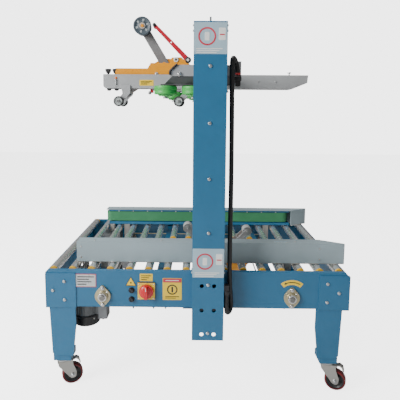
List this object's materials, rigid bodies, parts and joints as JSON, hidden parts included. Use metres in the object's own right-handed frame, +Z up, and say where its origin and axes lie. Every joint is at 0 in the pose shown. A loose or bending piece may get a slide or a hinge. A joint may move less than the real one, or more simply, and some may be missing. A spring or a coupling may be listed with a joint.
{
  "type": "carton sealer machine",
  "caption": "Semi-automatic carton sealer: a roller bed with two side drive belts, and a tape head on a bridge that rises and lowers on two columns.",
  "frame": {"origin": "on the floor, under the middle of the machine's bounding box", "axes": "+Z up, +X against the flow from outfeed to infeed, -Y towards the operator's side"},
  "size_m": [1.1568, 0.8984, 1.463],
  "materials": {
    "blue_paint": "satin powder coat",
    "zinc_bolts": "bright zinc",
    "bearing_zinc": "yellow passivated zinc",
    "switch_yellow": "moulded",
    "switch_red": "moulded",
    "button_green": "moulded",
    "roller_steel": "polished tube",
    "screw_steel": "rolled thread",
    "guard_paint": "satin",
    "belt_green": "smooth belt",
    "motor_grey": "cast",
    "caster_zinc": "zinc plated",
    "caster_tyre": "moulded",
    "head_grey": "satin",
    "press_green": "moulded",
    "hold_black": "moulded",
    "plate_orange": "satin",
    "arm_steel": "ground",
    "drum_slate": "moulded",
    "lever_red": "satin",
    "cable_black": "sheath"
  },
  "bodies": {
    "frame": {"bed_frame": "blue_paint", "legs": "blue_paint", "columns": "blue_paint", "roller_axles_and_bolts": "zinc_bolts", "bearings_and_chains": "bearing_zinc", "switch_and_junction_box": "switch_yellow", "lower_head_plates": "plate_orange", "head_cable": "cable_black"},
    "head": {"head_carriage": "head_grey", "upper_head_plates": "plate_orange"},
    "front_belt_unit": {"front_belt_housing": "guard_paint", "front_side_belt": "belt_green", "front_belt_motor": "motor_grey"},
    "rear_belt_unit": {"rear_belt_housing": "guard_paint", "rear_side_belt": "belt_green", "rear_belt_motor": "motor_grey"},
    "front_lift_screw": {"front_lift_screw": "screw_steel"},
    "rear_lift_screw": {"rear_lift_screw": "screw_steel"},
    "outfeed_width_screw": {"outfeed_width_screw": "screw_steel"},
    "infeed_width_screw": {"infeed_width_screw": "screw_steel"},
    "bed_roller_01": {"bed_roller_01": "roller_steel"},
    "bed_roller_02": {"bed_roller_02": "roller_steel"},
    "bed_roller_03": {"bed_roller_03": "roller_steel"},
    "bed_roller_04": {"bed_roller_04": "roller_steel"},
    "bed_roller_05": {"bed_roller_05": "roller_steel"},
    "bed_roller_06": {"bed_roller_06": "roller_steel"},
    "bed_roller_07": {"bed_roller_07": "roller_steel"},
    "bed_roller_08": {"bed_roller_08": "roller_steel"},
    "bed_roller_09": {"bed_roller_09": "roller_steel"},
    "bed_roller_10": {"bed_roller_10": "roller_steel"},
    "bed_roller_11": {"bed_roller_11": "roller_steel"},
    "bed_roller_12": {"bed_roller_12": "roller_steel"},
    "bed_roller_13": {"bed_roller_13": "roller_steel"},
    "bed_roller_14": {"bed_roller_14": "roller_steel"},
    "bed_roller_15": {"bed_roller_15": "roller_steel"},
    "bed_roller_16": {"bed_roller_16": "roller_steel"},
    "front_outfeed_caster_swivel": {"front_outfeed_caster_fork": "caster_zinc"},
    "front_outfeed_caster_wheel": {"front_outfeed_caster_wheel": "caster_tyre"},
    "front_infeed_caster_swivel": {"front_infeed_caster_fork": "caster_zinc"},
    "front_infeed_caster_wheel": {"front_infeed_caster_wheel": "caster_tyre"},
    "rear_infeed_caster_swivel": {"rear_infeed_caster_fork": "caster_zinc"},
    "rear_infeed_caster_wheel": {"rear_infeed_caster_wheel": "caster_tyre"},
    "rear_outfeed_caster_swivel": {"rear_outfeed_caster_fork": "caster_zinc"},
    "rear_outfeed_caster_wheel": {"rear_outfeed_caster_wheel": "caster_tyre"},
    "upper_front_arm": {"upper_front_arm": "arm_steel"},
    "upper_rear_arm": {"upper_rear_arm": "arm_steel"},
    "upper_tape_drum": {"upper_tape_drum": "drum_slate"},
    "lower_front_arm": {"lower_front_arm": "arm_steel"},
    "lower_rear_arm": {"lower_rear_arm": "arm_steel"},
    "lower_tape_drum": {"lower_tape_drum": "drum_slate"},
    "upper_tension_lever": {"upper_tension_lever": "lever_red"},
    "front_outfeed_press_wheel": {"front_outfeed_press_wheel": "press_green"},
    "rear_outfeed_press_wheel": {"rear_outfeed_press_wheel": "press_green"},
    "front_infeed_press_wheel": {"front_infeed_press_wheel": "press_green"},
    "rear_infeed_press_wheel": {"rear_infeed_press_wheel": "press_green"},
    "outfeed_hold_down_wheels": {"outfeed_hold_down_wheels": "hold_black"},
    "infeed_hold_down_wheels": {"infeed_hold_down_wheels": "hold_black"},
    "switch_knob": {"switch_knob": "switch_red"},
    "start_button": {"start_button": "button_green"},
    "stop_button": {"stop_button": "switch_red"}
  },
  "joints": [
    {"name": "head_lift", "type": "slide", "parent": "frame", "child": "head", "axis": [0, 0, 1], "range_m": [-0.45, 0]},
    {"name": "front_belt_slide", "type": "slide", "parent": "frame", "child": "front_belt_unit", "axis": [0, 1, 0], "range_m": [0, 0.175]},
    {"name": "rear_belt_slide", "type": "slide", "parent": "frame", "child": "rear_belt_unit", "axis": [0, -1, 0], "range_m": [0, 0.175]},
    {"name": "front_lift_screw_turn", "type": "hinge", "parent": "frame", "child": "front_lift_screw", "pos_m": [0.0385, -0.415, 0.8], "axis": [0, 0, 1], "range_deg": [-16200, 0]},
    {"name": "rear_lift_screw_turn", "type": "hinge", "parent": "frame", "child": "rear_lift_screw", "pos_m": [0.0385, 0.415, 0.8], "axis": [0, 0, 1], "range_deg": [-16200, 0]},
    {"name": "outfeed_width_screw_turn", "type": "hinge", "parent": "frame", "child": "outfeed_width_screw", "pos_m": [-0.351, 0, 0.378], "axis": [0, 1, 0], "range_deg": [0, 6300]},
    {"name": "infeed_width_screw_turn", "type": "hinge", "parent": "frame", "child": "infeed_width_screw", "pos_m": [0.351, 0, 0.378], "axis": [0, 1, 0], "range_deg": [0, 6300]},
    {"name": "bed_roller_01_spin", "type": "hinge", "parent": "frame", "child": "bed_roller_01", "pos_m": [-0.542, 0, 0.466], "axis": [0, 1, 0], "continuous": true},
    {"name": "bed_roller_02_spin", "type": "hinge", "parent": "frame", "child": "bed_roller_02", "pos_m": [-0.4705, 0, 0.466], "axis": [0, 1, 0], "continuous": true},
    {"name": "bed_roller_03_spin", "type": "hinge", "parent": "frame", "child": "bed_roller_03", "pos_m": [-0.399, 0, 0.466], "axis": [0, 1, 0], "continuous": true},
    {"name": "bed_roller_04_spin", "type": "hinge", "parent": "frame", "child": "bed_roller_04", "pos_m": [-0.3275, 0, 0.466], "axis": [0, 1, 0], "continuous": true},
    {"name": "bed_roller_05_spin", "type": "hinge", "parent": "frame", "child": "bed_roller_05", "pos_m": [-0.256, 0, 0.466], "axis": [0, 1, 0], "continuous": true},
    {"name": "bed_roller_06_spin", "type": "hinge", "parent": "frame", "child": "bed_roller_06", "pos_m": [-0.1845, 0, 0.466], "axis": [0, 1, 0], "continuous": true},
    {"name": "bed_roller_07_spin", "type": "hinge", "parent": "frame", "child": "bed_roller_07", "pos_m": [-0.113, 0, 0.466], "axis": [0, 1, 0], "continuous": true},
    {"name": "bed_roller_08_spin", "type": "hinge", "parent": "frame", "child": "bed_roller_08", "pos_m": [-0.0415, 0, 0.466], "axis": [0, 1, 0], "continuous": true},
    {"name": "bed_roller_09_spin", "type": "hinge", "parent": "frame", "child": "bed_roller_09", "pos_m": [0.03, 0, 0.466], "axis": [0, 1, 0], "continuous": true},
    {"name": "bed_roller_10_spin", "type": "hinge", "parent": "frame", "child": "bed_roller_10", "pos_m": [0.1015, 0, 0.466], "axis": [0, 1, 0], "continuous": true},
    {"name": "bed_roller_11_spin", "type": "hinge", "parent": "frame", "child": "bed_roller_11", "pos_m": [0.173, 0, 0.466], "axis": [0, 1, 0], "continuous": true},
    {"name": "bed_roller_12_spin", "type": "hinge", "parent": "frame", "child": "bed_roller_12", "pos_m": [0.2445, 0, 0.466], "axis": [0, 1, 0], "continuous": true},
    {"name": "bed_roller_13_spin", "type": "hinge", "parent": "frame", "child": "bed_roller_13", "pos_m": [0.316, 0, 0.466], "axis": [0, 1, 0], "continuous": true},
    {"name": "bed_roller_14_spin", "type": "hinge", "parent": "frame", "child": "bed_roller_14", "pos_m": [0.3875, 0, 0.466], "axis": [0, 1, 0], "continuous": true},
    {"name": "bed_roller_15_spin", "type": "hinge", "parent": "frame", "child": "bed_roller_15", "pos_m": [0.459, 0, 0.466], "axis": [0, 1, 0], "continuous": true},
    {"name": "bed_roller_16_spin", "type": "hinge", "parent": "frame", "child": "bed_roller_16", "pos_m": [0.5305, 0, 0.466], "axis": [0, 1, 0], "continuous": true},
    {"name": "front_outfeed_swivel", "type": "hinge", "parent": "frame", "child": "front_outfeed_caster_swivel", "pos_m": [-0.518, -0.345, 0.1], "axis": [0, 0, 1], "continuous": true},
    {"name": "front_outfeed_wheel_spin", "type": "hinge", "parent": "front_outfeed_caster_swivel", "child": "front_outfeed_caster_wheel", "pos_m": [-0.48833, -0.33301, 0.04], "axis": [0.3746, -0.9272, 0], "continuous": true},
    {"name": "front_infeed_swivel", "type": "hinge", "parent": "frame", "child": "front_infeed_caster_swivel", "pos_m": [0.506, -0.345, 0.1], "axis": [0, 0, 1], "continuous": true},
    {"name": "front_infeed_wheel_spin", "type": "hinge", "parent": "front_infeed_caster_swivel", "child": "front_infeed_caster_wheel", "pos_m": [0.53607, -0.35595, 0.04], "axis": [-0.342, -0.9397, 0], "continuous": true},
    {"name": "rear_infeed_swivel", "type": "hinge", "parent": "frame", "child": "rear_infeed_caster_swivel", "pos_m": [0.506, 0.345, 0.1], "axis": [0, 0, 1], "continuous": true},
    {"name": "rear_infeed_wheel_spin", "type": "hinge", "parent": "rear_infeed_caster_swivel", "child": "rear_infeed_caster_wheel", "pos_m": [0.47633, 0.33301, 0.04], "axis": [-0.3746, 0.9272, 0], "continuous": true},
    {"name": "rear_outfeed_swivel", "type": "hinge", "parent": "frame", "child": "rear_outfeed_caster_swivel", "pos_m": [-0.518, 0.345, 0.1], "axis": [0, 0, 1], "continuous": true},
    {"name": "rear_outfeed_wheel_spin", "type": "hinge", "parent": "rear_outfeed_caster_swivel", "child": "rear_outfeed_caster_wheel", "pos_m": [-0.54039, 0.36786, 0.04], "axis": [0.7145, 0.6997, 0], "continuous": true},
    {"name": "upper_front_arm_pivot", "type": "hinge", "parent": "head", "child": "upper_front_arm", "pos_m": [-0.125, 0, 1.195], "axis": [0, -1, 0], "range_deg": [0, 14], "stiffness_Nm_per_rad": 3, "springref_deg": -28.65},
    {"name": "upper_rear_arm_pivot", "type": "hinge", "parent": "head", "child": "upper_rear_arm", "pos_m": [-0.235, 0, 1.195], "axis": [0, 1, 0], "range_deg": [0, 21], "stiffness_Nm_per_rad": 3, "springref_deg": -28.65},
    {"name": "lower_front_arm_pivot", "type": "hinge", "parent": "frame", "child": "lower_front_arm", "pos_m": [0.141, 0, 0.445], "axis": [0, 1, 0], "range_deg": [0, 36.8], "stiffness_Nm_per_rad": 3, "springref_deg": -28.65},
    {"name": "lower_rear_arm_pivot", "type": "hinge", "parent": "frame", "child": "lower_rear_arm", "pos_m": [0.031, 0, 0.445], "axis": [0, -1, 0], "range_deg": [0, 44.16], "stiffness_Nm_per_rad": 3, "springref_deg": -28.65},
    {"name": "upper_tape_drum_spin", "type": "hinge", "parent": "head", "child": "upper_tape_drum", "pos_m": [-0.242, 0, 1.424], "axis": [0, 1, 0], "continuous": true},
    {"name": "lower_tape_drum_spin", "type": "hinge", "parent": "frame", "child": "lower_tape_drum", "pos_m": [0.024, 0, 0.216], "axis": [0, 1, 0], "continuous": true},
    {"name": "upper_tension_lever_pivot", "type": "hinge", "parent": "head", "child": "upper_tension_lever", "pos_m": [-0.045, 0, 1.28], "axis": [0, 1, 0], "range_deg": [0, 25], "stiffness_Nm_per_rad": 0.6, "springref_deg": -34.38},
    {"name": "front_outfeed_press_wheel_spin", "type": "hinge", "parent": "head", "child": "front_outfeed_press_wheel", "pos_m": [-0.123, -0.292, 1.14], "axis": [0, 0, 1], "continuous": true},
    {"name": "rear_outfeed_press_wheel_spin", "type": "hinge", "parent": "head", "child": "rear_outfeed_press_wheel", "pos_m": [-0.123, 0.292, 1.14], "axis": [0, 0, 1], "continuous": true},
    {"name": "front_infeed_press_wheel_spin", "type": "hinge", "parent": "head", "child": "front_infeed_press_wheel", "pos_m": [-0.02, -0.292, 1.14], "axis": [0, 0, 1], "continuous": true},
    {"name": "rear_infeed_press_wheel_spin", "type": "hinge", "parent": "head", "child": "rear_infeed_press_wheel", "pos_m": [-0.02, 0.292, 1.14], "axis": [0, 0, 1], "continuous": true},
    {"name": "outfeed_hold_down_spin", "type": "hinge", "parent": "head", "child": "outfeed_hold_down_wheels", "pos_m": [-0.341, 0, 1.104], "axis": [0, 1, 0], "continuous": true},
    {"name": "infeed_hold_down_spin", "type": "hinge", "parent": "head", "child": "infeed_hold_down_wheels", "pos_m": [-0.084, 0, 1.104], "axis": [0, 1, 0], "continuous": true},
    {"name": "switch_knob_turn", "type": "hinge", "parent": "frame", "child": "switch_knob", "pos_m": [-0.188, -0.391, 0.4], "axis": [0, 1, 0], "range_deg": [0, 90]},
    {"name": "start_button_press", "type": "slide", "parent": "frame", "child": "start_button", "axis": [0, 1, 0], "range_m": [0, 0.0025], "stiffness_N_per_m": 300},
    {"name": "stop_button_press", "type": "slide", "parent": "frame", "child": "stop_button", "axis": [0, 1, 0], "range_m": [0, 0.0025], "stiffness_N_per_m": 300}
  ],
  "couplings": [
    {"joint": "rear_belt_slide", "follows": "front_belt_slide", "ratio": 1},
    {"joint": "front_lift_screw_turn", "follows": "head_lift", "rad_per_m": 628.32},
    {"joint": "rear_lift_screw_turn", "follows": "head_lift", "rad_per_m": 628.32},
    {"joint": "outfeed_width_screw_turn", "follows": "front_belt_slide", "rad_per_m": 628.32},
    {"joint": "infeed_width_screw_turn", "follows": "front_belt_slide", "rad_per_m": 628.32},
    {"joint": "upper_rear_arm_pivot", "follows": "upper_front_arm_pivot", "ratio": 1.5},
    {"joint": "lower_rear_arm_pivot", "follows": "lower_front_arm_pivot", "ratio": 1.2}
  ]
}
